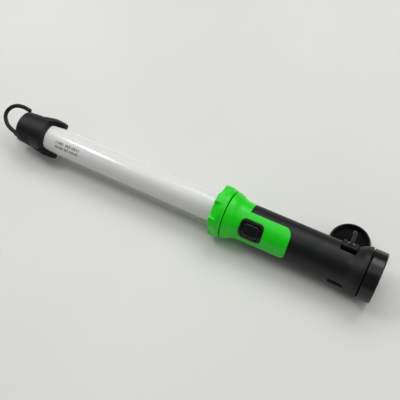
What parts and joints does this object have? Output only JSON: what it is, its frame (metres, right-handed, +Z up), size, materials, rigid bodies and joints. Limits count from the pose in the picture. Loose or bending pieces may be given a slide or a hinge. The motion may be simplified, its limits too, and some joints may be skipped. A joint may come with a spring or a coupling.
{
  "type": "led light tube",
  "caption": "Rechargeable inspection lamp: frosted diffuser tube on a round switch handle, with lobed collar, swivel hanging hook and hinged magnetic foot.",
  "frame": {"origin": "centre of the bounding box in X and Y, at the height of the surface the lamp lies on", "axes": "+X from the hook end to the tail along the lamp, +Z up, -Y the side the switch faces"},
  "size_m": [0.448, 0.0822, 0.0538],
  "materials": {
    "black_satin": "satin moulded",
    "black_gloss": "semi-gloss moulded",
    "green_shell": "smooth moulded, pure green",
    "frosted_diffuser": "frosted translucent white",
    "bar_aluminium": "extruded",
    "board_white": "solder-masked laminate",
    "white_plastic": "moulded",
    "seal_rubber": "matt",
    "steel_plated": "plated",
    "contact_brass": "plain",
    "cell_wrap": "film-wrapped cell can",
    "magnet_face": "plated magnet ring"
  },
  "bodies": {
    "wand": {"end_cap": "black_satin", "diffuser_tube": "frosted_diffuser", "seal_cap_end": "seal_rubber", "seal_tube_root": "seal_rubber", "bar_holder": "white_plastic", "led_bar": "bar_aluminium", "led_board": "board_white", "collar_ring": "green_shell", "front_shell": "green_shell", "handle_shell": "black_satin", "case_screw_1": "steel_plated", "case_screw_2": "steel_plated", "switch_bezel": "black_gloss", "switch_body": "black_satin", "battery_cell_1": "cell_wrap", "battery_cell_2": "cell_wrap", "battery_cell_3": "cell_wrap", "cell_tray": "white_plastic", "contact_plate": "contact_brass", "driver_board": "board_white", "tail_cap": "black_gloss", "tail_seal": "seal_rubber", "charge_socket": "black_satin", "charge_pin": "contact_brass", "foot_block": "black_satin", "foot_hinge_pin": "steel_plated", "slot_cover": "black_satin"},
    "hook_boss": {"hook_swivel": "black_satin", "swivel_rivet": "steel_plated", "hook_pin": "steel_plated"},
    "hanging_hook": {"hook": "black_satin"},
    "button": {"switch_button": "black_gloss"},
    "flap": {"charge_flap": "seal_rubber"},
    "foot": {"foot_arm": "black_satin", "foot_screw": "steel_plated"},
    "dish": {"foot_dish": "black_satin", "foot_magnet": "magnet_face"}
  },
  "joints": [
    {"name": "hook_turn", "type": "hinge", "parent": "wand", "child": "hook_boss", "pos_m": [-0.19259, -0.01495, 0.02689], "axis": [1, 0, 0], "continuous": true},
    {"name": "hook_fold", "type": "hinge", "parent": "hook_boss", "child": "hanging_hook", "pos_m": [-0.19639, -0.02445, 0.02096], "axis": [0, -0.5299, 0.848], "range_deg": [0, 45]},
    {"name": "switch_press", "type": "slide", "parent": "wand", "child": "button", "axis": [0, 0.809, -0.5878], "range_m": [0, 0.0012], "stiffness_N_per_m": 400},
    {"name": "flap_open", "type": "hinge", "parent": "wand", "child": "flap", "pos_m": [0.22286, -0.02239, 0.0323], "axis": [0, -0.5878, -0.809], "range_deg": [0, 110]},
    {"name": "foot_swing", "type": "hinge", "parent": "wand", "child": "foot", "pos_m": [0.18771, 0.00203, 0.03835], "axis": [1, 0, 0], "range_deg": [0, 80]},
    {"name": "dish_turn", "type": "hinge", "parent": "foot", "child": "dish", "pos_m": [0.18481, 0.01965, 0.01289], "axis": [0, -0.1736, 0.9848], "continuous": true}
  ]
}
